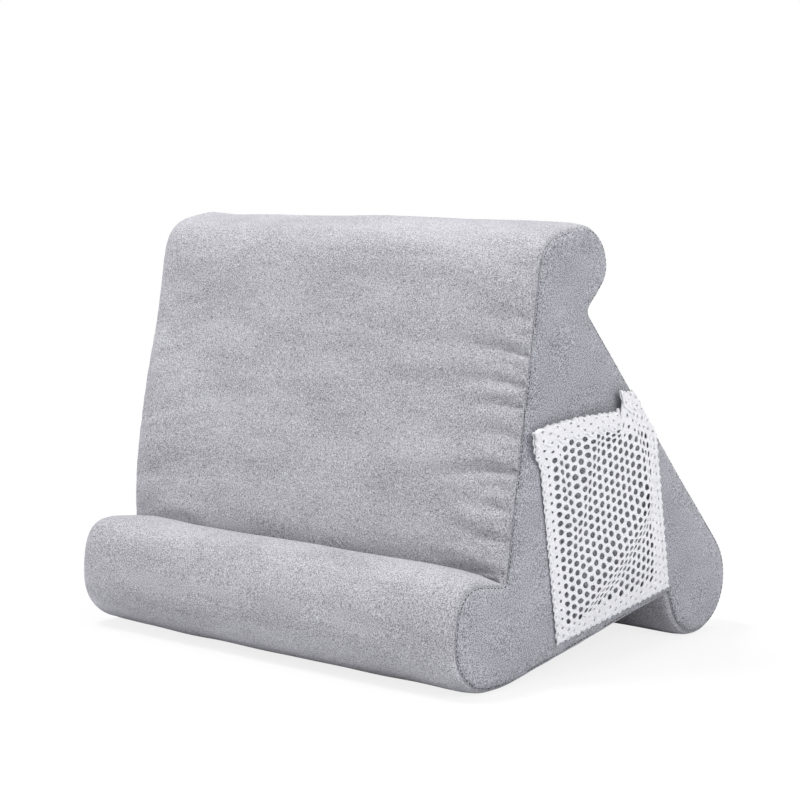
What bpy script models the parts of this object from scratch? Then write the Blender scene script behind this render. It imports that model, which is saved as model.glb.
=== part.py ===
"""A tablet cushion stand: a foam wedge in a sewn cover, with a net pocket on its right side.

X runs across the width, the front faces -Y and Z is up. The outline that both side seams
follow is drawn once, and the panels, the wrap, the core and the threads are set off from it.
"""
import bpy
import bmesh
from math import ceil, cos, pi, radians, sin, sqrt, tan
from mathutils import Matrix, Vector

# Seam outline, in metres and degrees: y from the front of the lip, z from its lowest point
WIDTH = 0.262              # seam to seam
DEPTH = 0.2193             # front of the lip to the back of the heel
BACK_TILT = 9.2            # back-rest from upright
LEDGE = 0.0336             # front of the lip to the back-rest, square to the back-rest
LEDGE_HEIGHT = 0.0466      # fold between the ledge and the back-rest
LIP_TOP_RADIUS = 0.014
LIP_RADIUS = 0.024
BASE_TILT = 10.8           # base rising to the back
BASE_EASE = 0.060          # where the front foot runs into the base
ARCH_REACH = 0.1696        # fold between the base and the rear foot
ARCH_HEIGHT = 0.0252
FOOT_TILT = 20.0           # front of the rear foot from upright
FOOT_RADIUS = 0.021
HEEL_RADIUS = 0.025
HEEL_HEIGHT = 0.0365       # where the heel meets the rear slope
HEEL_EASE = 0.028
REAR_TILT = 41.7           # rear slope from upright
REAR_FOLD_HEIGHT = 0.1736  # fold between the rear slope and the head
HEAD_UNDER_TILT = 44.0     # underside of the head from level
HEAD_UNDER_RADIUS = 0.010
HEAD_REACH = 0.1138        # front of the lip to the back of the head
HEAD_REAR_RADIUS = 0.0196
HEAD_HEIGHT = 0.2090       # front corner of the head, before it is rounded
HEAD_TOP_TILT = 10.0
HEAD_FRONT_RADIUS = 0.018
LEAST_RUN = 0.0005         # straight stretch kept between two rounded corners

# Cloth and how it sits
FABRIC = 0.0012            # thickness of the cover's cloth
GAP = 0.0003               # clearance between pieces that touch
CORE_GAP = 0.0005          # clearance between the cover and the core inside it
CROWN = 0.0030             # how far the wrap stands out between its seams
EDGE_ROUND = 0.014         # width of the rounded edge beside each seam
FOOT_SQUASH = 0.0007       # how far the feet flatten under the stand's weight
SEAM_ALLOWANCE = 0.008     # turned in behind each panel
PANEL_INSET = 0.0006       # panel's edge inside the seam outline
PANEL_SOFT_EDGE = 0.0004
THREAD_RADIUS = 0.00025

# Gathers of the back-rest beside its seams: the heights of their creases
CREASES = (0.0520, 0.0615, 0.0722, 0.0797, 0.0870, 0.0937, 0.1040, 0.1145, 0.1250,
           0.1352, 0.1450, 0.1530, 0.1595, 0.1735, 0.1860)
GATHER_RISE = 0.0014       # highest ridge between two creases
GATHER_SLOPE = 0.12        # ridge height for each metre between two creases
GATHER_PEAK = 0.011        # distance from the seam where the ridges are highest
GATHER_REACH = 0.042       # distance from the seam where they have run out
LEFT_SOFTENING = 0.6       # the left side's gathers beside the right side's

# Net pocket, in its own plane: u runs back along its lower edge and v runs up
POCKET_WIDTH = 0.096
POCKET_HEIGHT = 0.107
POCKET_TILT = 8.8
POCKET_REACH = 0.0727      # lower front corner from the front of the lip
POCKET_RISE = 0.0131       # and above the outline's lowest point
POCKET_SEAM_SETBACK = 0.0014  # cut edge inside the rear slope's seam
POCKET_MARGIN = 0.0075     # closed border, sewn down
POCKET_BULGE = 0.0100
POCKET_ROUND = 0.026       # border within which the net rises to its bulge
PLEAT_RISE = 0.0022        # loose fold running down the net
PLEAT_WIDTH = 0.005
PLEAT_TOP = (0.070, 0.098)
PLEAT_FOOT = (0.086, 0.020)
NET = 0.0009               # thickness of the net
NET_PITCH = 0.0092         # across the flats of one mesh of the net
NET_STRAND = 0.0011        # half the strand between two holes
HEM = 0.0100               # turned over at the mouth
HEM_LIFT = 0.0013          # middle of one hem layer to the middle of the other
STITCH_INSET = 0.0030      # stitch line from the pocket's edge
HEM_STITCH_GAP = 0.0013    # the hem's stitch line over its curved cloth

# Fineness
ARC_STEP = radians(16)
RUN_STEP = 0.030
CREASE_STEP = 0.0058
CURL_STEPS = 3             # rings round the edge beside each seam
HEM_STITCH_POINTS = 14
WELD = 0.000001

SEAM_PLANE = WIDTH / 2
FLOOR_DROP = CROWN - FOOT_SQUASH
WRAP_EDGE = FABRIC + GAP


def upright(tilt):
    """Direction that leans back by tilt degrees from straight up, as (y, z)."""
    return Vector((sin(radians(tilt)), cos(radians(tilt))))


def at_height(point, direction, height):
    """Point of a line at a height."""
    return point + direction * ((height - point.y) / direction.y)


def seam_corners():
    """Corners of the seam outline with the radii they should have, from the front fold downwards."""
    back = upright(BACK_TILT)
    square = Vector((back.y, -back.x))
    lip_front = Vector((0, LIP_RADIUS))
    front_fold = at_height(lip_front + square * LEDGE, back, LEDGE_HEIGHT)
    base_fold = Vector((ARCH_REACH, ARCH_HEIGHT))
    heel = Vector((DEPTH, HEEL_HEIGHT))
    rear_fold = at_height(heel, upright(-REAR_TILT), REAR_FOLD_HEIGHT)
    head_under = rear_fold + Vector((1, tan(radians(HEAD_UNDER_TILT)))) * (HEAD_REACH - rear_fold.x)
    head_front = at_height(front_fold, back, HEAD_HEIGHT)
    head_rear = head_front + Vector((1, tan(radians(HEAD_TOP_TILT)))) * (HEAD_REACH - head_front.x)
    return [
        (front_fold, 0),
        (front_fold - square * LEDGE, LIP_TOP_RADIUS),
        (at_height(lip_front, back, 0), LIP_RADIUS),
        (at_height(base_fold, upright(90 - BASE_TILT), 0), BASE_EASE),
        (base_fold, 0),
        (at_height(base_fold, upright(-FOOT_TILT), 0), FOOT_RADIUS),
        (Vector((DEPTH, 0)), HEEL_RADIUS),
        (heel, HEEL_EASE),
        (rear_fold, 0),
        (head_under, HEAD_UNDER_RADIUS),
        (head_rear, HEAD_REAR_RADIUS),
        (head_front, HEAD_FRONT_RADIUS),
    ]


def fitted_corners():
    """Corners of the seam outline, with each radius limited by the two straight runs beside it."""
    corners = seam_corners()
    count = len(corners)
    runs = [(corners[(index + 1) % count][0] - corners[index][0]) for index in range(count)]
    tangents = [tan(runs[index - 1].angle(runs[index]) / 2) for index in range(count)]
    wanted = [radius * tangents[index] for index, (_, radius) in enumerate(corners)]
    shares = [(run.length - LEAST_RUN) / (wanted[index] + wanted[(index + 1) % count] + WELD)
              for index, run in enumerate(runs)]
    return [(corner, radius * min(1, shares[index - 1], shares[index]))
            for index, (corner, radius) in enumerate(corners)]


def arc(before, corner, after, radius):
    """Points of the arc that rounds a corner, or the corner itself where radius is 0."""
    if radius == 0:
        return [corner]
    into = (corner - before).normalized()
    out = (after - corner).normalized()
    turn = into.angle(out)
    start = corner - into * (radius * tan(turn / 2))
    steps = max(2, ceil(turn / ARC_STEP))
    inward = (out - into * into.dot(out)).normalized()
    points = []
    for step in range(steps + 1):
        angle = turn * step / steps
        points.append(start + into * (radius * sin(angle)) + inward * (radius * (1 - cos(angle))))
    return points


def crease_marks(low, high):
    """Heights between low and high at the creases and at even steps between them."""
    marks = []
    for crease, following in zip(CREASES, CREASES[1:]):
        steps = ceil((following - crease) / CREASE_STEP)
        marks += [crease + (following - crease) * step / steps for step in range(steps)]
    marks.append(CREASES[-1])
    return [mark for mark in marks if low + CREASE_STEP / 2 < mark < high - CREASE_STEP / 2]


def seam_outline(creased):
    """Closed outline of both side seams as (y, z) points, counter-clockwise from the right.

    A creased outline has the points that the gathers need on the back-rest.
    """
    corners = fitted_corners()
    count = len(corners)
    outline = []
    for index, (corner, radius) in enumerate(corners):
        outline += arc(corners[index - 1][0], corner, corners[(index + 1) % count][0], radius)
        following, ease = corners[(index + 1) % count]
        beyond = corners[(index + 2) % count][0]
        start = outline[-1]
        end = arc(corner, following, beyond, ease)[0]
        if creased and index == count - 1:
            marks = crease_marks(end.y, start.y)
            outline += [at_height(end, upright(BACK_TILT), mark) for mark in reversed(marks)]
        else:
            steps = ceil((end - start).length / RUN_STEP)
            outline += [start.lerp(end, step / steps) for step in range(1, steps)]
    return outline


def corner_normals(outline):
    """Outward vector at each point, as long as keeps both of its sides at one offset."""
    count = len(outline)
    normals = []
    for index in range(count):
        into = (outline[index] - outline[index - 1]).normalized()
        out = (outline[(index + 1) % count] - outline[index]).normalized()
        both = Vector((into.y, -into.x)) + Vector((out.y, -out.x))
        normals.append(both * (2 / both.length_squared))
    return normals


def ridge(point):
    """Height of the gathers at an outline point: a round ridge between each crease and the next."""
    front_fold = seam_corners()[0][0]
    on_back_rest = abs(point.x - at_height(front_fold, upright(BACK_TILT), point.y).x) < GAP
    for low, high in zip(CREASES, CREASES[1:]):
        if on_back_rest and low <= point.y < high:
            rise = min(GATHER_RISE, GATHER_SLOPE * (high - low))
            return rise * sin(pi * (point.y - low) / (high - low))
    return 0


def gather_share(x):
    """Share of the gathers' height at a place across the width: none at the seams or far from them."""
    inset = SEAM_PLANE - abs(x)
    side = 1 if x > 0 else LEFT_SOFTENING
    if inset < GATHER_PEAK:
        return side * max(inset - WRAP_EDGE, 0) / (GATHER_PEAK - WRAP_EDGE)
    run = min((inset - GATHER_PEAK) / (GATHER_REACH - GATHER_PEAK), 1)
    return side * (0.5 + 0.5 * cos(pi * run))


def ring_points(x, offset, floor, creased=False):
    """The outline at a place across the width, set off outwards and flattened on the floor.

    A creased ring has the points and the lift of the gathers.
    """
    outline = seam_outline(creased)
    share = gather_share(x) if creased else 0
    points = []
    for point, normal in zip(outline, corner_normals(outline)):
        place = point + normal * (offset + share * ridge(point))
        points.append(Vector((x, place.x, max(place.y + FLOOR_DROP, floor))))
    return points


def add_ring(bm, points):
    """A closed loop of edges through the points; each edge starts at its own point."""
    verts = [bm.verts.new(point) for point in points]
    return [bm.edges.new((verts[index], verts[(index + 1) % len(verts)])) for index in range(len(verts))]


def shared_vert(first, second):
    """Vertex where two edges meet."""
    return next(vert for vert in first.verts if vert in second.verts)


def extrude_ring(bm, ring, points):
    """Extrude a loop of edges and set its copy's vertices on the next ring's points."""
    start = [shared_vert(ring[index - 1], edge) for index, edge in enumerate(ring)]
    geometry = bmesh.ops.extrude_edge_only(bm, edges=ring)["geom"]
    fresh = {item for item in geometry if isinstance(item, bmesh.types.BMVert)}
    copies = []
    for vert, point in zip(start, points):
        copy = next(edge.other_vert(vert) for edge in vert.link_edges if edge.other_vert(vert) in fresh)
        copy.co = point
        copies.append(copy)
    return [bm.edges.get((copies[index], copies[(index + 1) % len(copies)])) for index in range(len(copies))]


def skin(bm, rings):
    """Cloth or foam surface through a row of rings; the first and last loops of edges come back."""
    first = add_ring(bm, rings[0])
    ring = first
    for points in rings[1:]:
        ring = extrude_ring(bm, ring, points)
    return first, ring


def finish(bm, name, material):
    """Turn a bmesh into a smooth-shaded object with its material."""
    bmesh.ops.recalc_face_normals(bm, faces=bm.faces[:])
    mesh = bpy.data.meshes.new(name)
    bm.to_mesh(mesh)
    bm.free()
    mesh.shade_smooth()
    mesh.set_sharp_from_angle(angle=radians(40))
    return place(bpy.data.objects.new(name, mesh), material)


def place(piece, material):
    """Link a piece to the scene and give it its material."""
    piece.data.materials.append(material)
    bpy.context.scene.collection.objects.link(piece)
    return piece


def make_material(name, color, roughness):
    """Principled material of one cloth, foam or thread."""
    material = bpy.data.materials.new(name)
    material.use_nodes = True
    shader = material.node_tree.nodes["Principled BSDF"]
    shader.inputs["Base Color"].default_value = (*color, 1)
    shader.inputs["Roughness"].default_value = roughness
    shader.inputs["Metallic"].default_value = 0
    return material


def edge_curl(thickness_in):
    """Distance from the seam plane and offset of each ring round the edge, seam first."""
    reach = EDGE_ROUND - thickness_in
    height = CROWN - thickness_in
    middle = WRAP_EDGE + EDGE_ROUND
    angles = [pi / 2 * step / CURL_STEPS for step in range(CURL_STEPS + 1)]
    return [(middle - reach * cos(angle), height * sin(angle)) for angle in angles]


def across_width(stations):
    """Stations beside one seam, carried over the width to the other seam."""
    near = [(SEAM_PLANE - inset, offset) for inset, offset in stations]
    far = [(-x, offset) for x, offset in reversed(near)]
    return near + far


def make_wrap(material):
    """Cloth strip right round the stand, with its seam allowances turned in behind the panels."""
    run_out = (WRAP_EDGE + EDGE_ROUND + GATHER_REACH) / 2
    outer = [(WRAP_EDGE, -SEAM_ALLOWANCE), *edge_curl(0), (run_out, CROWN), (GATHER_REACH, CROWN)]
    inner = [(WRAP_EDGE + FABRIC, -SEAM_ALLOWANCE), *edge_curl(FABRIC), (GATHER_REACH, CROWN - FABRIC)]
    bm = bmesh.new()
    rings = [ring_points(x, offset, 0, creased=True) for x, offset in across_width(outer)]
    lining = [ring_points(x, offset, FABRIC, creased=True) for x, offset in across_width(inner)]
    skin(bm, rings + lining[::-1] + rings[:1])
    bmesh.ops.remove_doubles(bm, verts=bm.verts[:], dist=WELD)
    finish(bm, "cover_wrap", material)


def make_core(material):
    """Foam block that fills the cover."""
    inside = FABRIC + CORE_GAP
    rings = [ring_points(x, offset, inside) for x, offset in across_width(edge_curl(inside))]
    bm = bmesh.new()
    for ring in skin(bm, rings):
        bmesh.ops.contextual_create(bm, geom=ring)
    finish(bm, "foam_core", material)


def make_panel(name, side, material):
    """Flat side panel, with its edge turned softly into the seam."""
    bm = bmesh.new()
    ring = add_ring(bm, ring_points(side * (SEAM_PLANE - FABRIC), -PANEL_INSET, 0))
    inside = bmesh.ops.contextual_create(bm, geom=ring)["faces"]
    extruded = bmesh.ops.extrude_face_region(bm, geom=inside, use_keep_orig=True)["geom"]
    verts = [item for item in extruded if isinstance(item, bmesh.types.BMVert)]
    edges = [item for item in extruded if isinstance(item, bmesh.types.BMEdge)]
    bmesh.ops.translate(bm, verts=verts, vec=(side * FABRIC, 0, 0))
    bmesh.ops.bevel(bm, geom=edges, offset=PANEL_SOFT_EDGE, affect="EDGES",
                    segments=1, profile=0.5, material=-1)
    finish(bm, name, material)


def make_thread(name, path, closed, material):
    """Thread laid along a path."""
    curve = bpy.data.curves.new(name, "CURVE")
    curve.dimensions = "3D"
    curve.bevel_depth = THREAD_RADIUS
    curve.bevel_resolution = 0
    curve.use_fill_caps = not closed
    spline = curve.splines.new("POLY")
    spline.points.add(len(path) - 1)
    spline.use_cyclic_u = closed
    for point, position in zip(spline.points, path):
        point.co = (*position, 1)
    place(bpy.data.objects.new(name, curve), material)


def make_seam_thread(name, side, material):
    """Thread in the groove between a panel and the wrap."""
    groove = WRAP_EDGE - GAP - THREAD_RADIUS * sqrt(2)
    path = ring_points(side * (SEAM_PLANE - groove), THREAD_RADIUS / 2, 0)
    make_thread(name, path, True, material)


def pocket_place(u, v, lift):
    """Point of the pocket's plane, standing off the panel by lift, in the part's frame."""
    tilt = radians(POCKET_TILT)
    y = POCKET_REACH + u * cos(tilt) - v * sin(tilt)
    z = POCKET_RISE + u * sin(tilt) + v * cos(tilt)
    return Vector((SEAM_PLANE + GAP + lift, y, z + FLOOR_DROP))


def rear_cut():
    """Line along the rear slope's seam where the pocket is cut: a point and its outward normal."""
    heel = seam_corners()[7][0]
    along = upright(-REAR_TILT)
    outward = Vector((along.y, -along.x))
    start = heel - outward * POCKET_SEAM_SETBACK - Vector((POCKET_REACH, POCKET_RISE))
    turn = Matrix.Rotation(-radians(POCKET_TILT), 2)
    return turn @ start, turn @ outward


def edge_distance(u, v):
    """Distance of a point of the pocket from the edge where it is sewn down."""
    point, outward = rear_cut()
    return min(u, v, POCKET_WIDTH - u, (point - Vector((u, v))).dot(outward))


def net_lift(u, v):
    """How far the middle of the net stands off the panel."""
    inside = (edge_distance(u, v) - POCKET_MARGIN / 2) / POCKET_ROUND
    inside = min(max(inside, 0), 1)
    bulge = 1 - (1 - inside) ** 2
    top = Vector(PLEAT_TOP)
    foot = Vector(PLEAT_FOOT)
    along = (foot - top).normalized()
    away = Vector((u, v)) - top
    across = away.x * along.y - away.y * along.x
    pleat = PLEAT_RISE * bulge * 2 ** (-(across / PLEAT_WIDTH) ** 2)
    return NET / 2 + POCKET_BULGE * bulge + pleat


def split(bm, point, normal, items=None, clear=False):
    """Cut the flat net along a line, and clear what lies beyond it if asked."""
    items = items or bm.verts[:] + bm.edges[:] + bm.faces[:]
    bmesh.ops.bisect_plane(bm, geom=items, dist=NET / 100, plane_co=point, plane_no=normal,
                           clear_outer=clear)


def net_cells(bm):
    """Flat tiling of six-sided cells over the pocket and its hem, cut to the pocket's outline."""
    radius = NET_PITCH / sqrt(3)
    rows = ceil((POCKET_HEIGHT + HEM) / (1.5 * radius)) + 2
    columns = ceil(POCKET_WIDTH / NET_PITCH) + 2
    for row in range(rows):
        for column in range(columns):
            centre = Vector(((column - row % 2 / 2) * NET_PITCH, (row - 0.5) * 1.5 * radius, 0))
            bmesh.ops.create_circle(bm, cap_ends=True, segments=6, radius=radius,
                                    matrix=Matrix.Translation(centre))
    bmesh.ops.remove_doubles(bm, verts=bm.verts[:], dist=NET_STRAND / 10)
    split(bm, (0, 0, 0), (-1, 0, 0), clear=True)
    split(bm, (0, 0, 0), (0, -1, 0), clear=True)
    split(bm, (POCKET_WIDTH, 0, 0), (1, 0, 0), clear=True)
    split(bm, (0, POCKET_HEIGHT + HEM, 0), (0, 1, 0), clear=True)


def cut_corner(bm):
    """Cut the corner that would pass the rear slope's seam, on the net and on its hem alike."""
    point, outward = rear_cut()
    folded = Vector((point.x, 2 * POCKET_HEIGHT - point.y))
    split(bm, (0, POCKET_HEIGHT, 0), (0, 1, 0))
    for in_hem, start, normal in ((False, point, outward), (True, folded, Vector((outward.x, -outward.y)))):
        faces = [face for face in bm.faces if (face.calc_center_median().y > POCKET_HEIGHT) == in_hem]
        edges = {edge for face in faces for edge in face.edges}
        verts = {vert for face in faces for vert in face.verts}
        split(bm, start.to_3d(), normal.to_3d(), items=[*verts, *edges, *faces], clear=True)


def crease_border(bm):
    """Lines where the border that is sewn down flat ends and the net begins to rise."""
    flat = POCKET_MARGIN / 2
    point, outward = rear_cut()
    split(bm, (flat, 0, 0), (1, 0, 0))
    split(bm, (0, flat, 0), (0, 1, 0))
    split(bm, (POCKET_WIDTH - flat, 0, 0), (1, 0, 0))
    split(bm, (point - outward * flat).to_3d(), outward.to_3d())


def open_net(bm):
    """Open the whole cells inside the border into holes."""
    window = []
    for face in bm.faces:
        spot = face.calc_center_median()
        whole = face.calc_area() > 0.98 * NET_PITCH ** 2 * sqrt(3) / 2
        inside = edge_distance(spot.x, spot.y) > POCKET_MARGIN + NET_STRAND
        if whole and inside and spot.y < POCKET_HEIGHT - HEM - NET_STRAND:
            window.append(face)
    bmesh.ops.inset_individual(bm, faces=window, thickness=NET_STRAND, depth=0)
    bmesh.ops.delete(bm, geom=window, context="FACES_ONLY")
    return len(window)


def hang_net(bm):
    """Carry the flat net into place, with its hem turned over at the mouth."""
    turn = HEM_LIFT / 2
    for height in (POCKET_HEIGHT - turn, POCKET_HEIGHT + turn):
        bmesh.ops.bisect_plane(bm, geom=bm.verts[:] + bm.edges[:] + bm.faces[:], dist=NET / 100,
                               plane_co=(0, height, 0), plane_no=(0, 1, 0))
    for vert in bm.verts:
        u, v = vert.co.x, vert.co.y
        past = v - POCKET_HEIGHT
        share = min(max((past + turn) / (2 * turn), 0), 1)
        height = min(v, 2 * POCKET_HEIGHT - v)
        vert.co = pocket_place(u, height, net_lift(u, height) + share * HEM_LIFT)


def make_pocket(material):
    """Net pocket in one piece, open at the top, with its mouth turned over to a hem."""
    bm = bmesh.new()
    net_cells(bm)
    cut_corner(bm)
    crease_border(bm)
    print("net holes", open_net(bm))
    hang_net(bm)
    pocket = finish(bm, "mesh_pocket", material)
    thickness = pocket.modifiers.new("thickness", "SOLIDIFY")
    thickness.thickness = NET
    thickness.offset = 0


def make_pocket_threads(material):
    """Stitch line down, along and up the pocket's border, and one along its hem."""
    above = NET / 2 + THREAD_RADIUS
    far = POCKET_WIDTH - STITCH_INSET
    point, outward = rear_cut()
    under_hem = POCKET_HEIGHT - HEM - STITCH_INSET
    cut_height = point.y - (far - point.x) * outward.x / outward.y - STITCH_INSET / outward.y
    corners = [(STITCH_INSET, under_hem), (STITCH_INSET, STITCH_INSET),
               (far, STITCH_INSET), (far, min(under_hem, cut_height))]
    border = [pocket_place(u, v, net_lift(u, v) + above + GAP) for u, v in corners]
    make_thread("pocket_seam_thread", border, False, material)
    v = POCKET_HEIGHT - HEM + STITCH_INSET / 2
    end = point.x - (v - point.y) * outward.y / outward.x - STITCH_INSET
    hem = []
    for step in range(HEM_STITCH_POINTS + 1):
        u = STITCH_INSET + (end - STITCH_INSET) * step / HEM_STITCH_POINTS
        hem.append(pocket_place(u, v, net_lift(u, v) + HEM_LIFT + above + HEM_STITCH_GAP))
    make_thread("pocket_hem_thread", hem, False, material)


def stand_on_origin():
    """Move the part so that the origin is the middle of the base of its box."""
    depsgraph = bpy.context.evaluated_depsgraph_get()
    pieces = list(bpy.context.scene.objects)
    corners = []
    for piece in pieces:
        mesh = piece.evaluated_get(depsgraph).to_mesh()
        corners += [vert.co.copy() for vert in mesh.vertices]
    low = Vector([min(corner[axis] for corner in corners) for axis in range(3)])
    high = Vector([max(corner[axis] for corner in corners) for axis in range(3)])
    base = bpy.data.objects.new("stand", None)
    bpy.context.scene.collection.objects.link(base)
    base.location = (-(low.x + high.x) / 2, -(low.y + high.y) / 2, -low.z)
    for piece in pieces:
        piece.parent = base
    print("shift", tuple(round(value, 5) for value in base.location))
    print("size", tuple(round(value, 5) for value in high - low))


def main():
    """Build every piece of the stand."""
    for old in list(bpy.data.objects):
        bpy.data.objects.remove(old)
    cloth = make_material("grey_plush", (0.41, 0.41, 0.44), 0.95)
    panel_cloth = make_material("grey_plush_panel", (0.37, 0.37, 0.41), 0.95)
    foam = make_material("foam", (0.80, 0.77, 0.66), 0.98)
    net = make_material("white_net", (0.88, 0.87, 0.91), 0.80)
    grey_thread = make_material("grey_thread", (0.20, 0.20, 0.22), 0.85)
    white_thread = make_material("white_thread", (0.86, 0.86, 0.90), 0.80)
    make_core(foam)
    make_wrap(cloth)
    make_panel("right_side_panel", 1, panel_cloth)
    make_panel("left_side_panel", -1, panel_cloth)
    make_seam_thread("right_seam_thread", 1, grey_thread)
    make_seam_thread("left_seam_thread", -1, grey_thread)
    make_pocket(net)
    make_pocket_threads(white_thread)
    stand_on_origin()


main()
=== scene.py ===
import bmesh
import bpy
import numpy as np
from math import cos, pi, radians, sin, sqrt
from mathutils import Matrix, Vector, noise


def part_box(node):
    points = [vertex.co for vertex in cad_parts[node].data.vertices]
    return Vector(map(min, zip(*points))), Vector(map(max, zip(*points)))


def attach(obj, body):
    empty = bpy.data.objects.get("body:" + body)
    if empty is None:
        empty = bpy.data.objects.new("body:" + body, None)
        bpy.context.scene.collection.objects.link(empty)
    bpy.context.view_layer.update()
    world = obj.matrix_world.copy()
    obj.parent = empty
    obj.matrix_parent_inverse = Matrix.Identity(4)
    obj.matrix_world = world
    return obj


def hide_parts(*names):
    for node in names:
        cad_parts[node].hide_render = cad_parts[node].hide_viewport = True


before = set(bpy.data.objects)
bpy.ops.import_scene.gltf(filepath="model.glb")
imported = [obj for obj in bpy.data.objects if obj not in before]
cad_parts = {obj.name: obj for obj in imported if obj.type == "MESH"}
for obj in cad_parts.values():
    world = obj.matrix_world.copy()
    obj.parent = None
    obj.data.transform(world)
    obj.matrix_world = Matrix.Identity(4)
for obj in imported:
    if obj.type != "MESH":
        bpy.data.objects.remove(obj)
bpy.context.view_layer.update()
MM = 0.001
SAME_PLACE = 0.001 * MM    # points closer together than this are one point
print("CAD nodes:", sorted(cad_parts))

# %% [markdown]
# ## The camera
# The view is a three-quarter one from the front right, a little above the table. A long lens from
# more than a metre away keeps the sides of the stand nearly parallel. The camera comes first, because
# every other choice is judged through it.
# %% Camera
CAMERA_PLACE = Vector((0.79801, -0.90612, 0.26868))
CAMERA_AIM = Vector((-0.66019, 0.74131, -0.12087))
CAMERA_UP = Vector((-0.07950, 0.09106, 0.99267))
CAMERA_LENS = 104.0

lens = bpy.data.cameras.new("camera")
lens.lens = CAMERA_LENS
camera = bpy.data.objects.new("camera", lens)
bpy.context.scene.collection.objects.link(camera)
side = CAMERA_AIM.cross(CAMERA_UP).normalized()
turn = Matrix((side, side.cross(CAMERA_AIM).normalized(), -CAMERA_AIM.normalized())).transposed()
camera.matrix_world = Matrix.Translation(CAMERA_PLACE) @ turn.to_4x4()
bpy.context.scene.camera = camera
print("camera is", round(CAMERA_PLACE.length, 2), "m from the middle of the base")

# %% [markdown]
# ## Small helpers
# Each finished piece sits at the origin with its place in its mesh, rides on the one body, gets its
# material, and hides the plain CAD solid that it stands for. One helper does all four, so that no
# piece can forget one of them.
# %% Helpers for pieces


def add_piece(bm, name, material, slot, *stands_for):
    """Make an object of a bmesh, put its material on it and tie it to the frame."""
    mesh = bpy.data.meshes.new(name)
    bm.to_mesh(mesh)
    bm.free()
    mesh.shade_smooth()
    mesh.materials.append(material)
    piece = bpy.data.objects.new(name, mesh)
    bpy.context.scene.collection.objects.link(piece)
    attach(piece, "root")
    if stands_for:
        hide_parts(*stands_for)
    print(name, "has", len(mesh.polygons), "faces")
    return piece


def bake_modifiers(piece):
    """Apply a piece's modifiers, so that its mesh is its final shape."""
    shaped = bpy.data.meshes.new_from_object(piece.evaluated_get(bpy.context.evaluated_depsgraph_get()))
    old = piece.data
    piece.modifiers.clear()
    piece.data = shaped
    bpy.data.meshes.remove(old)


# %% [markdown]
# ## Plush, as a shader
# The cover is a short-pile plush. From a step away three things show: a fine fleck, because each
# tuft of pile catches the light in its own way, soft clouds where the nap has been brushed one way
# or the other, and a pale sheen where the surface turns away from the eye. The fleck and the clouds
# are built once as a node group, and the wrap and the panels use it with their own values. The
# panels' darker colours are partly painted shade, because the sides get less light. The sheen is a
# plain setting of the shader.
# %% Node helpers


def new_group(name, inputs, outputs):
    """An empty shader node group with float and colour sockets."""
    group = bpy.data.node_groups.new(name, "ShaderNodeTree")
    for label, kind, value in inputs:
        socket = group.interface.new_socket(label, in_out="INPUT", socket_type=kind)
        socket.default_value = value
    for label, kind in outputs:
        group.interface.new_socket(label, in_out="OUTPUT", socket_type=kind)
    return group, group.nodes.new("NodeGroupInput"), group.nodes.new("NodeGroupOutput")


def add_noise(tree, place, scale, detail, roughness=0.5):
    """A noise texture read at a place."""
    node = tree.nodes.new("ShaderNodeTexNoise")
    node.inputs["Scale"].default_value = scale
    node.inputs["Detail"].default_value = detail
    node.inputs["Roughness"].default_value = roughness
    tree.links.new(place, node.inputs["Vector"])
    return node


def calculate(tree, operation, first, second):
    """A math node; each input is a socket or a number."""
    node = tree.nodes.new("ShaderNodeMath")
    node.operation = operation
    for index, value in enumerate((first, second)):
        if isinstance(value, (int, float)):
            node.inputs[index].default_value = value
        else:
            tree.links.new(value, node.inputs[index])
    return node.outputs[0]


# %% Plush pile group
FLECK_SCALE = 1700.0       # one fleck is half a millimetre wide
FIBRE_SCALE = 3200.0
NAP_SCALE = 38.0           # a brushed cloud is two or three centimetres wide


def make_pile_group():
    """Colour, roughness and height of a short plush pile."""
    group, inlet, outlet = new_group(
        "plush_pile",
        [("Dark", "NodeSocketColor", (0.3, 0.3, 0.3, 1)), ("Light", "NodeSocketColor", (0.6, 0.6, 0.6, 1)),
         ("Fleck", "NodeSocketFloat", 0.5), ("Nap", "NodeSocketFloat", 0.3)],
        [("Color", "NodeSocketColor"), ("Roughness", "NodeSocketFloat"), ("Height", "NodeSocketFloat")])
    place = group.nodes.new("ShaderNodeTexCoord").outputs["Object"]
    fleck = add_noise(group, place, FLECK_SCALE, 1.0).outputs["Fac"]
    fibre = add_noise(group, place, FIBRE_SCALE, 0.0).outputs["Fac"]
    lean = group.nodes.new("ShaderNodeMapping")
    lean.inputs["Rotation"].default_value = (radians(35), radians(20), radians(-30))
    lean.inputs["Scale"].default_value = (0.45, 1.0, 1.6)
    group.links.new(place, lean.inputs["Vector"])
    nap = add_noise(group, lean.outputs[0], NAP_SCALE, 3.0, 0.55).outputs["Fac"]
    parts = [calculate(group, "MULTIPLY", calculate(group, "SUBTRACT", texture, 0.5), inlet.outputs[label])
             for texture, label in ((fleck, "Fleck"), (nap, "Nap"))]
    shade = calculate(group, "ADD", calculate(group, "ADD", *parts), 0.5)
    mix = group.nodes.new("ShaderNodeMix")
    mix.data_type = "RGBA"
    mix.clamp_factor = True
    group.links.new(shade, mix.inputs[0])
    group.links.new(inlet.outputs["Dark"], mix.inputs[6])
    group.links.new(inlet.outputs["Light"], mix.inputs[7])
    group.links.new(mix.outputs[2], outlet.inputs["Color"])
    rough = calculate(group, "ADD", calculate(group, "MULTIPLY", nap, 0.2), 0.78)
    group.links.new(rough, outlet.inputs["Roughness"])
    height = calculate(group, "ADD", fleck, calculate(group, "MULTIPLY", fibre, 0.5))
    group.links.new(height, outlet.inputs["Height"])
    return group


pile_group = make_pile_group()
print("plush pile group has", len(pile_group.nodes), "nodes")

# %% Plush materials


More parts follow.
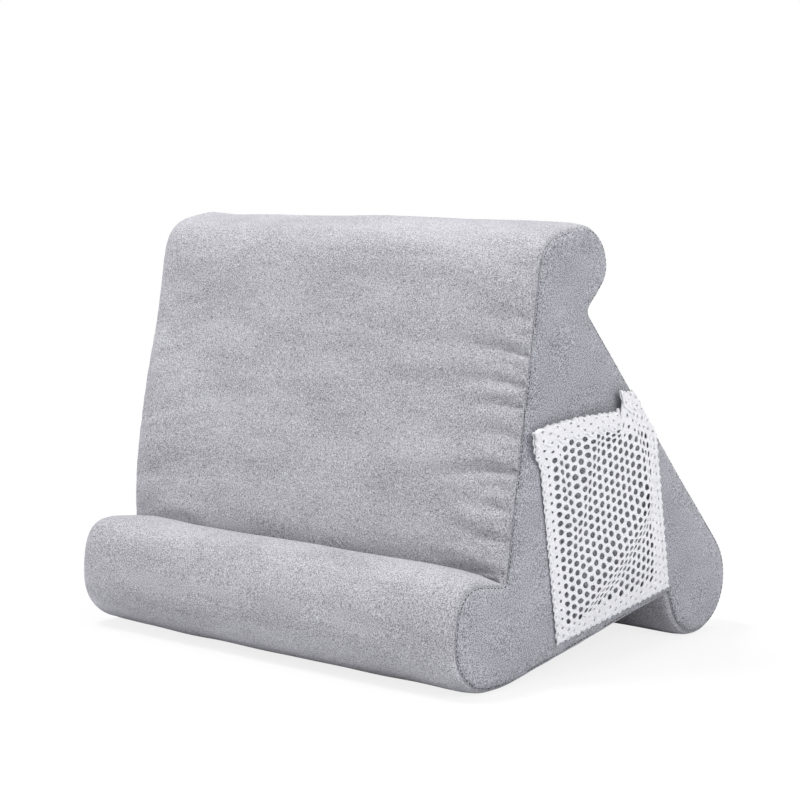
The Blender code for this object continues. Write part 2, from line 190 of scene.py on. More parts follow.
def blank_material(name):
    """A material with one Principled shader, and that shader."""
    material = bpy.data.materials.new(name)
    material.use_nodes = True
    return material, material.node_tree, material.node_tree.nodes["Principled BSDF"]


def make_plush(name, dark, light, fleck, nap, pile_depth):
    """Plush with its own colours, fleck, nap and depth of pile."""
    material, tree, shader = blank_material(name)
    pile = tree.nodes.new("ShaderNodeGroup")
    pile.node_tree = pile_group
    pile.inputs["Dark"].default_value = (*dark, 1)
    pile.inputs["Light"].default_value = (*light, 1)
    pile.inputs["Fleck"].default_value = fleck
    pile.inputs["Nap"].default_value = nap
    bump = tree.nodes.new("ShaderNodeBump")
    bump.inputs["Distance"].default_value = pile_depth
    bump.inputs["Strength"].default_value = 1.0
    tree.links.new(pile.outputs["Color"], shader.inputs["Base Color"])
    tree.links.new(pile.outputs["Roughness"], shader.inputs["Roughness"])
    tree.links.new(pile.outputs["Height"], bump.inputs["Height"])
    tree.links.new(bump.outputs["Normal"], shader.inputs["Normal"])
    shader.inputs["Specular IOR Level"].default_value = 0.15
    shader.inputs["Sheen Weight"].default_value = 0.28
    shader.inputs["Sheen Roughness"].default_value = 0.45
    shader.inputs["Sheen Tint"].default_value = (0.95, 0.95, 1.0, 1)
    return material


wrap_plush = make_plush("grey_plush", (0.17, 0.168, 0.18), (0.60, 0.595, 0.635),
                        fleck=2.4, nap=0.6, pile_depth=0.09 * MM)
# the side panels' darker colours are partly painted shade of the sides of the stand
panel_plush = make_plush("grey_plush_panel", (0.135, 0.136, 0.152), (0.55, 0.552, 0.595),
                         fleck=2.9, nap=0.4, pile_depth=0.12 * MM)
print("plush materials:", wrap_plush.name, panel_plush.name)

# %% [markdown]
# ## The outline of the side seams
# Both side panels are cut to one outline, and the wrap follows it from the base, up the lip, over
# the ledge, up the back-rest, round the head and down the rear slope. A flat cut half-way through
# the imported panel's cloth gives that outline, so no size is typed twice. The points are then spread
# evenly, and a few rounds of averaging turn the three sharp folds into the soft ones of real cloth.
# %% Read the outline from the right panel
OUTLINE_STEP = 1.9 * MM
FOLD_ROUNDS = 5
PANEL_INSET = 1.0 * MM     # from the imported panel's edge out to the seam
REAR_FOOT = (0.112, 0.030)  # y and z of the middle of the rear foot
FOOT_PUFF = 0.9 * MM       # the rear foot is stuffed fuller than the rest
FOOT_REACH = 34 * MM


def seam_loop(node):
    """Points (y, z) round a side panel, half-way through its cloth, counter-clockwise from the right."""
    low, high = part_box(node)
    bm = bmesh.new()
    bm.from_mesh(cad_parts[node].data)
    bmesh.ops.remove_doubles(bm, verts=bm.verts[:], dist=SAME_PLACE)
    bmesh.ops.bisect_plane(bm, geom=bm.verts[:] + bm.edges[:] + bm.faces[:], dist=SAME_PLACE,
                           plane_co=(low + high) / 2, plane_no=(1, 0, 0),
                           clear_inner=True, clear_outer=True)
    edge = next(iter(bm.edges))
    vert = edge.verts[0]
    points = []
    while len(points) < len(bm.verts):
        points.append((vert.co.y, vert.co.z))
        vert = edge.other_vert(vert)
        edge = next(near for near in vert.link_edges if near != edge)
    bm.free()
    points = np.array(points)
    following = np.roll(points, -1, axis=0)
    area = (points[:, 0] * following[:, 1] - following[:, 0] * points[:, 1]).sum() / 2
    return points if area > 0 else points[::-1]


def spread(points, step):
    """The closed line through the points, with points at even steps."""
    closed = np.vstack([points, points[:1]])
    run = np.concatenate([[0], np.cumsum(np.linalg.norm(np.diff(closed, axis=0), axis=1))])
    places = np.linspace(0, run[-1], round(run[-1] / step) + 1)[:-1]
    return np.column_stack([np.interp(places, run, closed[:, axis]) for axis in (0, 1)])


def soften(values, rounds):
    """Average each value on a closed line with its two neighbours, again and again."""
    for _ in range(rounds):
        values = (np.roll(values, 1, axis=0) + 2 * values + np.roll(values, -1, axis=0)) / 4
    return values


def outward(points):
    """Unit vector out of the outline at each point."""
    along = np.roll(points, -1, axis=0) - np.roll(points, 1, axis=0)
    out = np.column_stack([along[:, 1], -along[:, 0]])
    return out / np.linalg.norm(out, axis=1, keepdims=True)


def hill(distance, width):
    """1 at a place, and less and less on both sides of it."""
    return np.exp(-((distance / width) ** 2))


def ramp(distance, length):
    """0 at the start, 1 from the given length on, and even in between."""
    return np.clip(distance / length, 0, 1)


raw_loop = seam_loop("right_side_panel")
lowest = raw_loop[:, 1].argmin()
raw_loop = np.roll(raw_loop, -lowest, axis=0)
outline = soften(spread(raw_loop, OUTLINE_STEP), FOLD_ROUNDS)
foot_room = np.linalg.norm(outline - REAR_FOOT, axis=1)
fullness = PANEL_INSET + FOOT_PUFF * hill(foot_room, FOOT_REACH)
outline = outline + outward(outline) * fullness[:, None]
normals = outward(outline)
print("outline has", len(outline), "points and is", round(len(outline) * OUTLINE_STEP, 3), "m round")

# %% [markdown]
# ## The wrap
# The wrap is one strip of plush, sewn to a panel along each edge. It is made as a flat grid, one
# side of it across the width and the other along the outline, and each of its points is then carried
# to its place. Close to a seam the cloth is pulled in by the stitches, so the strip rises in a
# quarter round from the seam to its full crown. Grid lines are closer together there.
# %% Where each point of the wrap goes
GRID_ACROSS = 100
SEAM_CROWDING = 0.8        # how much closer the grid lines are at the seams
CROWN = 3.0 * MM           # how far the cloth stands out from the outline of its seams
EDGE_ROUND = 10 * MM
SEAM_DIP = 1.5 * MM        # depth and width of the groove at a seam
DIP_WIDTH = 0.8 * MM
SEAM_HOLD = 6 * MM         # the stitches hold the cloth down as far as this from a seam
left_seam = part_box("cover_wrap")[0].x
right_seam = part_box("cover_wrap")[1].x
print("the seams are", round((right_seam - left_seam) / MM, 1), "mm apart")


def seam_rise(distance):
    """Height of the cloth over the seam outline at a distance from the seam."""
    share = ramp(distance, EDGE_ROUND)
    return CROWN * np.sqrt(1 - (1 - share) ** 2) - SEAM_DIP * hill(distance, DIP_WIDTH)


# %% [markdown]
# ### Gathers, waves and fuller places
# Where the back-rest is eased into its seams the plush puckers: short creases run in from the seam
# and fade out. They are shaped in the mesh, because a bump in the material can't change an edge or
# throw a shadow. Each crease is one row of numbers, and smooth hills and ramps turn the rows into a
# lift for every point of the grid. Long waves and a few fuller places take away the rest of the
# ruler's straightness.
# %% Gathers beside the seams
# Each row is a crease of the back-rest at the right seam: its height, how far it reaches from the
# seam, how deep it is, and how much it drops on its way across.
GATHERS = (
    (0.0560, 0.030, 0.80, 0.003), (0.0722, 0.026, 0.90, 0.003), (0.0790, 0.012, 0.40, 0.000),
    (0.0857, 0.018, 0.80, 0.000), (0.0952, 0.018, 0.55, 0.000), (0.1044, 0.042, 1.20, 0.006),
    (0.1130, 0.014, 0.40, 0.000), (0.1206, 0.020, 0.65, 0.002), (0.1349, 0.030, 0.90, 0.003),
    (0.1448, 0.036, 1.05, 0.001), (0.1517, 0.016, 0.60, 0.000), (0.1591, 0.038, 1.05, -0.001),
    (0.1680, 0.014, 0.40, 0.000), (0.1750, 0.022, 0.60, 0.000),
)
GATHER_DEPTH = 4.0 * MM
BETWEEN_GATHERS = 0.5      # share of that depth by which the cloth between the creases stands out
GATHER_REACH = 46 * MM     # the cloth between the creases stands out as far as this from the seam
GATHER_WIDTH = 2.1 * MM
GATHER_TAIL = 1.6          # a crease has faded out at so many times its reach
GATHER_CURL = 1.0 * MM     # how much lower a crease ends at the seam itself
CURL_LENGTH = 9 * MM
LEFT_SHARE = 0.38          # depth of the creases at the left seam, as a share of the right ones
RIGHT_START = 2.2 * MM     # how far from the seam a crease reaches its full depth
LEFT_START = 26 * MM
LEFT_RISE = 0.35           # slope of the long ripples beside the left seam


def gathers(height, distance, share, drop_sign, start):
    """Depth of the creases at a height of the back-rest and a distance from a seam."""
    depth = np.zeros_like(height)
    for crease, reach, strength, drop in GATHERS:
        line = crease - GATHER_CURL * np.exp(-distance / CURL_LENGTH) - drop_sign * drop * distance / reach
        width = GATHER_WIDTH * (0.9 + distance / reach)
        fade = np.clip(1 - distance / (GATHER_TAIL * reach), 0, 1) ** 1.1 * ramp(distance, start)
        depth += strength * fade * hill(height - line, width)
    ridge = np.clip(1.15 - distance / GATHER_REACH, 0, 1) ** 1.2 * ramp(distance, SEAM_HOLD)
    return share * GATHER_DEPTH * (depth - BETWEEN_GATHERS * ridge)


print(len(GATHERS), "gathers beside each seam")

# %% Long soft waves over the whole cloth
WAVE_HEIGHT = 0.55 * MM
WAVE_LENGTH = 34 * MM
SHORT_WAVE = 0.25 * MM
SHORT_LENGTHS = np.array((30, 9, 9)) * MM  # the short waves are drawn out along x
SHORT_REACH = 12 * MM      # they fade with the distance from a seam


def waves(points):
    """Unevenness of the cloth at each point: long waves, and shorter ones that need a seam near."""
    long_waves = np.array([noise.noise(Vector(point) / WAVE_LENGTH) for point in points])
    short_waves = np.array([noise.noise(Vector(point / SHORT_LENGTHS)) for point in points])
    distance = np.minimum(points[:, 0] - left_seam, right_seam - points[:, 0])
    near = np.exp(-distance / SHORT_REACH) * ramp(distance, 2 * MM)
    return WAVE_HEIGHT * long_waves + SHORT_WAVE * near * short_waves


# %% Where the cover is fuller or tighter than its outline
# Each row: the x, y and z of a place, how far it reaches along x, y and z, and how far the cloth stands out
PUFFS = (
    ((-0.130, -0.066, 0.104), (0.034, 0.034, 0.066), 6.4 * MM),
    ((-0.130, -0.108, 0.036), (0.022, 0.016, 0.014), 2.0 * MM),
    ((-0.128, -0.100, 0.004), (0.030, 0.020, 0.010), -1.8 * MM),
    ((-0.130, -0.105, 0.050), (0.026, 0.008, 0.010), 2.4 * MM),
    ((-0.130, -0.086, 0.060), (0.030, 0.012, 0.014), -2.3 * MM),
    ((-0.085, -0.020, 0.216), (0.070, 0.040, 0.016), -2.6 * MM),
    ((-0.116, -0.020, 0.216), (0.018, 0.040, 0.016), -1.2 * MM),
    ((0.045, -0.020, 0.216), (0.050, 0.040, 0.016), -0.7 * MM),
    ((-0.130, -0.030, 0.212), (0.014, 0.030, 0.020), 0.9 * MM),
)
PUFF_START = 5 * MM        # how far from a seam they reach their full height


def puffs(points, distance):
    """Lift of the cloth at places where the cover is fuller or tighter."""
    lift = np.zeros(len(points))
    for place, reach, height in PUFFS:
        lift += height * np.exp(-((((points - place) / reach) ** 2).sum(axis=1)))
    return lift * ramp(distance, PUFF_START)


print(len(PUFFS), "places are fuller or tighter")

# %% The fold behind the ledge
FOLD_HEIGHT = 49 * MM      # height of the fold between the ledge and the back-rest
FOLD_DEPTH = 3.2 * MM
FOLD_WIDTH = 3 * MM
CREST_PUFF = 3.0 * MM      # the top of the lip is fuller away from the seams
CREST_RUN = 26 * MM        # from the fold forward to the top of the lip
CREST_WIDTH = 18 * MM
REST_PUFF = 3.6 * MM       # the foot of the back-rest stands out over the fold
REST_START = 9 * MM        # how fast it does so above the fold, and how slowly it fades further up
REST_REACH = 60 * MM
FULL_FROM_SEAM = 22 * MM   # both reach their full height as far as this from a seam


def fold_shape(index, distance):
    """Lift of the cloth on both sides of the fold behind the ledge, and the depth of the fold."""
    ahead, behind = np.roll(outline, -1, axis=0) - outline, outline - np.roll(outline, 1, axis=0)
    bend = behind[:, 0] * ahead[:, 1] - behind[:, 1] * ahead[:, 0]
    bend[(abs(outline[:, 1] - FOLD_HEIGHT) > FOLD_HEIGHT / 2) | (outline[:, 0] > outline[:, 0].mean())] = 1
    run = (index - bend.argmin()) * OUTLINE_STEP
    crest = CREST_PUFF * hill(run - CREST_RUN, CREST_WIDTH)
    rest = REST_PUFF * (run < 0) * (1 - hill(run, REST_START)) * np.exp(run / REST_REACH)
    fold = FOLD_DEPTH * hill(run, FOLD_WIDTH)
    return (crest + rest) * ramp(distance, FULL_FROM_SEAM) ** 0.7 - fold * ramp(distance, SEAM_HOLD)


# %% Build the wrap
START_INSIDE = 0.5 * MM    # the cloth starts a little slack and is blown up to its size
BACK_TOP = 0.196           # the gathers end at this height, and fade over the last stretch below it
BACK_FADE = 0.02
MIDDLE_BLEND = 20 * MM     # width over which the gathers of one seam give way to those of the other
LIP_PUFF = 1.6 * MM
LIP_HEIGHT = 36 * MM       # middle height of the lip's front, and how far the puff reaches from there
LIP_REACH = 20 * MM
LIP_LENGTH = 30 * MM       # the lip is the foremost part of the outline, as long as this


def gathers_of_both_seams(x, base, out):
    """Depth of the creases of the back-rest, those of the left seam and those of the right one."""
    on_back = ramp(-out[:, 0] - 0.9, 0.08) * (base[:, 1] > FOLD_HEIGHT - 2 * MM)
    on_back *= ramp(BACK_TOP - base[:, 1], BACK_FADE)
    right = np.clip((x - (left_seam + right_seam) / 2) / MIDDLE_BLEND + 0.5, 0, 1)
    ripples = gathers(base[:, 1], right_seam - x, 1.0, 1, RIGHT_START) * right
    from_left = x - left_seam
    height = base[:, 1] - LEFT_RISE * from_left
    ripples += gathers(height, from_left, LEFT_SHARE, 0, LEFT_START) * (1 - right)
    return on_back * ripples


def make_wrap_grid():
    """The strip as a grid, closed round the outline, with each point in its place."""
    bm = bmesh.new()
    count = len(outline)
    bmesh.ops.create_grid(bm, x_segments=count, y_segments=GRID_ACROSS, size=0.5)
    flat = np.array([vert.co[:2] for vert in bm.verts]) + 0.5
    index = np.round(flat[:, 0] * count).astype(int) % count
    across = flat[:, 1] - SEAM_CROWDING * np.sin(2 * pi * flat[:, 1]) / (2 * pi)
    x = left_seam + (right_seam - left_seam) * across
    distance = np.minimum(x - left_seam, right_seam - x)
    base, out = outline[index], normals[index]
    flat_place = np.column_stack([x, base + out * CROWN])
    lift = seam_rise(distance) - gathers_of_both_seams(x, base, out) + waves(flat_place)
    lip = hill(base[:, 1] - LIP_HEIGHT, LIP_REACH) * (base[:, 0] < outline[:, 0].min() + LIP_LENGTH)
    lift += LIP_PUFF * lip * ramp(distance, EDGE_ROUND) + fold_shape(index, distance)
    lift += puffs(flat_place, distance)
    lift -= START_INSIDE * ramp(distance, SEAM_HOLD)
    place = np.column_stack([x, base + out * lift[:, None]])
    for vert, spot in zip(bm.verts, place):
        vert.co = spot
    bmesh.ops.remove_doubles(bm, verts=bm.verts[:], dist=SAME_PLACE)
    bmesh.ops.recalc_face_normals(bm, faces=bm.faces[:])
    bm.normal_update()
    top = max(bm.faces, key=lambda face: face.calc_center_median().z)
    if top.normal.z < 0:
        bmesh.ops.reverse_faces(bm, faces=bm.faces[:])
    return bm


wrap = add_piece(make_wrap_grid(), "plush_wrap", wrap_plush, "plush", "cover_wrap")

# %% [markdown]
# ## Blow up the cloth
# Plush over foam is pushed outwards everywhere and held back only at its stitches. A short cloth
# simulation gives that look: gravity is off, the seams are pinned, and a light pressure fills the
# strip. No point may move further than a cap, because foam is not a balloon, and none may move
# inwards, because the foam holds it there.
# %% Simulate the wrap
PRESSURE = 4.0
LAST_FRAME = 20
WRAP_CAP = 0.8 * MM
SEWN = 1.2 * MM            # points this close to a seam are held by its stitches


def blow_up(piece, pinned, cap):
    """Swell a piece under pressure, held at its pinned points; it only moves outwards, up to the cap."""
    start = np.array([vert.co for vert in piece.data.vertices])
    out = np.array([vert.normal for vert in piece.data.vertices])
    held = piece.vertex_groups.new(name="sewn")
    held.add([int(index) for index in pinned], 1.0, "REPLACE")
    cloth = piece.modifiers.new("cloth", "CLOTH")
    cloth.settings.quality = 4
    cloth.settings.mass = 0.3
    cloth.settings.tension_stiffness = 12
    cloth.settings.compression_stiffness = 12
    cloth.settings.shear_stiffness = 5
    cloth.settings.bending_stiffness = 1.5
    cloth.settings.vertex_group_mass = "sewn"
    cloth.settings.use_pressure = True
    cloth.settings.uniform_pressure_force = PRESSURE
    cloth.settings.effector_weights.gravity = 0
    cloth.collision_settings.use_collision = False
    for number in range(1, LAST_FRAME + 1):
        bpy.context.scene.frame_set(number)
    bake_modifiers(piece)
    bpy.context.scene.frame_set(1)
    moved = np.array([vert.co for vert in piece.data.vertices]) - start
    swell = (moved * out).sum(axis=1)
    place = start + out * np.clip(swell, 0, cap)[:, None]
    for vert, spot in zip(piece.data.vertices, place):
        vert.co = spot
    print(piece.name, "swelled by", round(swell.mean() / MM, 2), "mm on average, from",
          round(swell.min() / MM, 2), "to", round(swell.max() / MM, 2), "mm, kept within", round(cap / MM, 2))


edges_x = np.array([vert.co.x for vert in wrap.data.vertices])
sewn = np.where(np.minimum(edges_x - left_seam, right_seam - edges_x) < SEWN)[0]
blow_up(wrap, sewn, WRAP_CAP)

# %% Give the wrap its thickness
FABRIC = 0.9 * MM
FLOOR = 0.0


def lay_on_floor(verts):
    """Flatten what would reach below the surface that the stand rests on."""
    for vert in verts:
        vert.co.z = max(vert.co.z, FLOOR)


def thicken(piece):
    """Give the cloth its thickness on the inside and keep it on the floor."""
    wall = piece.modifiers.new("wall", "SOLIDIFY")
    wall.thickness = FABRIC
    wall.offset = -1
    bake_modifiers(piece)
    lay_on_floor(piece.data.vertices)
    print(piece.name, "now has", len(piece.data.polygons), "faces")


lay_on_floor(wrap.data.vertices)
thicken(wrap)

# %% [markdown]
# ## The side panels
# A panel is nearly flat, but it is cloth over foam: it swells a little and its edge turns into the
# seam. Filling the outline with one face and slicing that face into a grid gives points to shape.
# The lift of each point depends only on how far it is from the seam.
# %% Panels
SLICE = 6 * MM
EDGE_INSETS = (0.6 * MM, 0.7 * MM, 1.0 * MM, 2.0 * MM, 4.0 * MM)
EDGE_TUCK = 0.3 * MM       # the panel's edge lies this far inside the seam
PANEL_BULGE = 0.6 * MM
BULGE_REACH = 22 * MM
PANEL_GROOVE = 1.2 * MM
GROOVE_WIDTH = 1.3 * MM
PANEL_UNEVEN = 0.25 * MM
UNEVEN_LENGTH = 30 * MM


def distance_to_outline(points):
    """Distance of (y, z) points from the seam outline."""
    nearest = np.full(len(points), 1.0)
    for spot in outline:
        nearest = np.minimum(nearest, np.linalg.norm(points - spot, axis=1))
    return nearest


def slice_faces(bm, axis, low, high, step):
    """Cut all faces by a row of parallel planes."""
    normal = Vector([float(axis == index) for index in range(3)])
    for place in np.arange(low + step / 2, high, step):
        bmesh.ops.bisect_plane(bm, geom=bm.verts[:] + bm.edges[:] + bm.faces[:], dist=0.02 * MM,
                               plane_co=normal * place, plane_no=normal)


def fill_outline(bm, x, rise):
    """One face that fills the outline at a place across the width, moved out at its edge by a rise."""
    verts = [bm.verts.new((x, y, z)) for y, z in outline + normals * rise]
    for index, vert in enumerate(verts):
        bm.edges.new((vert, verts[(index + 1) % len(verts)]))
    return bmesh.ops.contextual_create(bm, geom=bm.edges[:])["faces"]


def make_panel(name, node, side):
    """One side panel; side is 1 for the right and -1 for the left."""
    face_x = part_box(node)[1].x if side > 0 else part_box(node)[0].x
    bm = bmesh.new()
    inner = fill_outline(bm, 0, -EDGE_TUCK)
    for inset in EDGE_INSETS:
        bmesh.ops.inset_region(bm, faces=inner, thickness=inset, depth=0, use_even_offset=True)
    slice_faces(bm, 1, outline[:, 0].min(), outline[:, 0].max(), SLICE)
    slice_faces(bm, 2, outline[:, 1].min(), outline[:, 1].max(), SLICE)
    bmesh.ops.triangulate(bm, faces=[face for face in bm.faces if len(face.verts) > 4])
    distance = distance_to_outline(np.array([vert.co[1:] for vert in bm.verts]))
    rise = PANEL_BULGE * (1 - np.exp(-distance / BULGE_REACH)) - PANEL_GROOVE * hill(distance, GROOVE_WIDTH)
    for vert, lift in zip(bm.verts, rise):
        uneven = noise.noise(Vector((side * 3.0, vert.co.y, vert.co.z)) / UNEVEN_LENGTH)
        vert.co.x = face_x + side * (lift + PANEL_UNEVEN * uneven)
    bmesh.ops.recalc_face_normals(bm, faces=bm.faces[:])
    if sum(face.normal.x * face.calc_area() for face in bm.faces) * side < 0:
        bmesh.ops.reverse_faces(bm, faces=bm.faces[:])
    panel = add_piece(bm, name, panel_plush, "panel_plush", node)
    thicken(panel)


make_panel("plush_panel_right", "right_side_panel", 1)
make_panel("plush_panel_left", "left_side_panel", -1)

# %% [markdown]
# ## Thread
# The machine stitches of the side seams lie deep in the groove, one every 2.5 mm. Each stitch is a
# small rounded bar. A round bar is enough, because only its back shows. Their near-black colour is
# partly the thread's own and partly painted shade, which darkens the groove as its shadow would.
# %% Thread materials
TWIST_SCALE = 4000.0


def lay_pattern(tree, shader, pattern, first, second, depth, sunken=False):
    """Colour a shader from one tone to another by a pattern, which also raises or sinks the surface."""
    mix = tree.nodes.new("ShaderNodeMix")
    mix.data_type = "RGBA"
    mix.inputs[6].default_value = (*first, 1)
    mix.inputs[7].default_value = (*second, 1)
    tree.links.new(pattern, mix.inputs[0])
    tree.links.new(mix.outputs[2], shader.inputs["Base Color"])
    bump = tree.nodes.new("ShaderNodeBump")
    bump.invert = sunken
    bump.inputs["Distance"].default_value = depth
    tree.links.new(pattern, bump.inputs["Height"])
    tree.links.new(bump.outputs["Normal"], shader.inputs["Normal"])


def make_thread_material(name, color):
    """Twisted sewing thread: fine flecks of light and dark."""
    material, tree, shader = blank_material(name)
    place = tree.nodes.new("ShaderNodeTexCoord").outputs["Object"]
    twist = add_noise(tree, place, TWIST_SCALE, 2.0).outputs["Fac"]
    dark = [0.75 * part for part in color]
    light = [min(1.0, 1.15 * part) for part in color]
    lay_pattern(tree, shader, twist, dark, light, 0.05 * MM)
    shader.inputs["Roughness"].default_value = 0.8
    return material


# the side seams' thread is near black: partly its own colour, partly painted shade of the seam groove
grey_thread = make_thread_material("grey_thread", (0.06, 0.06, 0.07))
white_thread = make_thread_material("white_thread", (0.86, 0.86, 0.92))
print("thread materials:", grey_thread.name, white_thread.name)

# %% Stitches of the side seams
STITCH_STEP = 2.5 * MM
STITCH_LENGTH = 1.9 * MM
STITCH_RADIUS = 0.27 * MM
STITCH_DEPTH = 0.75 * MM   # under the outline of the seams
STITCH_SETBACK = 0.2 * MM  # the row lies on the wrap's side of the groove


def make_bar(length, radius):
    """One small rounded bar, as a mesh to copy."""
    bm = bmesh.new()
    bmesh.ops.create_uvsphere(bm, u_segments=8, v_segments=6, radius=1,
                              matrix=Matrix.Diagonal((radius, radius, length / 2, 1)))
    bar = bpy.data.meshes.new("bar")
    bm.to_mesh(bar)
    bm.free()
    return bar


def add_stitch(bm, bar, middle, along):
    """A copy of a bar, laid along a direction."""
    copy = bar.copy()
    copy.transform(Matrix.Translation(middle) @ along.to_track_quat("Z", "Y").to_matrix().to_4x4())
    bm.from_mesh(copy)
    bpy.data.meshes.remove(copy)


def make_seam_stitches(name, node, side):
    """Stitches all along one side seam, in its groove."""
    low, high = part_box(node)
    bm = bmesh.new()
    bar = make_bar(STITCH_LENGTH, STITCH_RADIUS)
    line = spread(outline - normals * STITCH_DEPTH, STITCH_STEP)
    for index, spot in enumerate(line):
        along = line[(index + 1) % len(line)] - line[index - 1]
        middle = Vector(((low.x + high.x) / 2 - side * STITCH_SETBACK, *spot))
        add_stitch(bm, bar, middle, Vector((0, *along)))
    lay_on_floor(bm.verts)
    add_piece(bm, name, grey_thread, "grey_thread", node)


make_seam_stitches("right_seam_stitches", "right_seam_thread", 1)
make_seam_stitches("left_seam_stitches", "left_seam_thread", -1)

# %% [markdown]
# ## The net pocket
# The pocket is a warp-knitted net. It is made flat, as it was cut: a field of six-sided meshes with
# a hole in each, every mesh a little different from the next. Its three sewn edges are turned under
# and its mouth is turned over, so a double layer with few clear holes frames the pocket.
# The flat net is then carried to its place on the panel, where it bulges and falls into soft folds.
# %% The flat net
POCKET_WIDTH = 94.5 * MM
POCKET_HEIGHT = 109 * MM
HEM = 10 * MM
TURNED_UNDER = 7 * MM
MESH_ACROSS = 4.3 * MM     # from one column of holes to the next
MESH_UP = 4.5 * MM         # from one hole of a column to the next
MESH_SHIFT = (0.25, 0.14)  # so that the holes of a doubled border don't meet
STRAND = 0.68 * MM         # half the strand between two holes
POCKET_TILT = radians(8.8)  # the foot of the pocket rises to the rear
SEAM_SETBACK = 1.9 * MM    # the net ends this far inside the rear slope's seam


def flat_net():
    """Six-sided meshes over the whole cut of the net."""
    bm = bmesh.new()
    radius = MESH_UP / sqrt(3)
    widen = Matrix.Diagonal((MESH_ACROSS / (1.5 * radius), 1, 1, 1)) @ Matrix.Rotation(radians(30), 4, "Z")
    first = -round(TURNED_UNDER / MESH_ACROSS) - 1
    last = round((POCKET_WIDTH + TURNED_UNDER) / MESH_ACROSS) + 1
    rows = range(-round(TURNED_UNDER / MESH_UP) - 1, round((POCKET_HEIGHT + HEM) / MESH_UP) + 2)
    for column in range(first, last + 1):
        for row in rows:
            centre = Vector(((column + MESH_SHIFT[0]) * MESH_ACROSS,
                             (row + column % 2 / 2 + MESH_SHIFT[1]) * MESH_UP, 0))
            bmesh.ops.create_circle(bm, cap_ends=True, segments=6, radius=radius,
                                    matrix=Matrix.Translation(centre) @ widen)
    bmesh.ops.remove_doubles(bm, verts=bm.verts[:], dist=0.05 * MM)
    return bm


net_bm = flat_net()
print("flat net has", len(net_bm.faces), "meshes")

# %% Where the net lies on the panel
BORDER_LIFT = 1.7 * MM     # middle of the outer layer over the panel, where it is sewn down
LAYER_STEP = 0.7 * MM      # from one layer of net to the next
FLAT_BORDER = 4 * MM
DENSE_BORDER = 7.5 * MM
DENSE_REAR = 13 * MM       # more net is gathered along the rear edge
DENSE_REAR_TOP = 64 * MM
DENSE_CORNER = 18 * MM     # and at the front end of the hem
BULGE = 5.0 * MM
BULGE_FROM_FRONT = 62 * MM  # the net rises slowly from its front edge
BULGE_FROM_REAR = 24 * MM  # and falls faster to the rear edge
BULGE_FROM_FOOT = 30 * MM
pocket_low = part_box("mesh_pocket")[0]
panel_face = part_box("right_side_panel")[1].x
pocket_corner = Vector((pocket_low.y + POCKET_HEIGHT * sin(POCKET_TILT), pocket_low.z))


def to_panel(u, v, lift):
    """Point over the panel for a place on the net: u runs back along its foot, v runs up."""
    y = pocket_corner.x + u * cos(POCKET_TILT) - v * sin(POCKET_TILT)
    z = pocket_corner.y + u * sin(POCKET_TILT) + v * cos(POCKET_TILT)
    return Vector((panel_face + lift, y, z))


def rear_seam_line():
    """The rear slope's seam as a line on the net: a point and its outward normal."""
    on_slope = (normals[:, 0] > 0.7) & (normals[:, 1] > 0.6) & (outline[:, 1] > 60 * MM)
    point, out = outline[on_slope].mean(axis=0), normals[on_slope].mean(axis=0)
    away = Vector(point) - pocket_corner
    turn_back = Matrix.Rotation(-POCKET_TILT, 2)
    return turn_back @ away, (turn_back @ Vector(out)).normalized()


seam_point, seam_out = rear_seam_line()


def seam_room(u, v):
    """Distance from a place on the net to the rear slope's seam."""
    return (seam_point - Vector((u, v))).dot(seam_out) - SEAM_SETBACK


def folded(u, v):
    """Where a place of the flat cut comes to lie, and how many layers up it is."""
    layer = 0
    if u < 0 or v < 0 or u > POCKET_WIDTH:
        layer = -1
    if v > POCKET_HEIGHT:
        layer = 1
    u, v = abs(min(u, 2 * POCKET_WIDTH - u)), min(abs(v), 2 * POCKET_HEIGHT - v)
    room = seam_room(u, v)
    if room < 0:
        layer = min(layer, 0) - 1
        u, v = u + 2 * room * seam_out.x, v + 2 * room * seam_out.y
    return u, v, layer


print("pocket corner at", tuple(round(part / MM, 1) for part in pocket_corner), "mm")

# %% Cut the net to its pattern and open its meshes
HOLE_SPREAD = 0.12 * MM    # how unequal the holes are
SPREAD_LENGTH = 1.7 * MM
BORDER_STRAND = 1.5 * MM   # the knitting is closer in the doubled borders
HEM_STRAND = 1.7 * MM
SEAM_TURN = 6 * MM         # net that is turned under along the rear slope's seam
SLIT_PLACE = 60 * MM       # the hem ends at a short slit, beside the part that the seam holds
SLIT_LENGTH = 7 * MM


def cut_pattern(bm):
    """Drop the meshes outside the cut: the notched corners and what would pass the rear seam."""
    outside = []
    for face in bm.faces:
        u, v, _ = face.calc_center_median()
        turned_u = u < 0 or u > POCKET_WIDTH
        lies_u, lies_v = min(u, 2 * POCKET_WIDTH - u), min(v, 2 * POCKET_HEIGHT - v)
        too_far = u < -TURNED_UNDER or u > POCKET_WIDTH + TURNED_UNDER
        too_far = too_far or v < -TURNED_UNDER or v > POCKET_HEIGHT + HEM
        notch = turned_u and (v < 0 or v > POCKET_HEIGHT)
        slit = abs(u - SLIT_PLACE) < MESH_ACROSS / 2 and v > POCKET_HEIGHT - SLIT_LENGTH
        if too_far or notch or slit or seam_room(lies_u, lies_v) < -SEAM_TURN:
            outside.append(face)
    bmesh.ops.delete(bm, geom=outside, context="FACES")


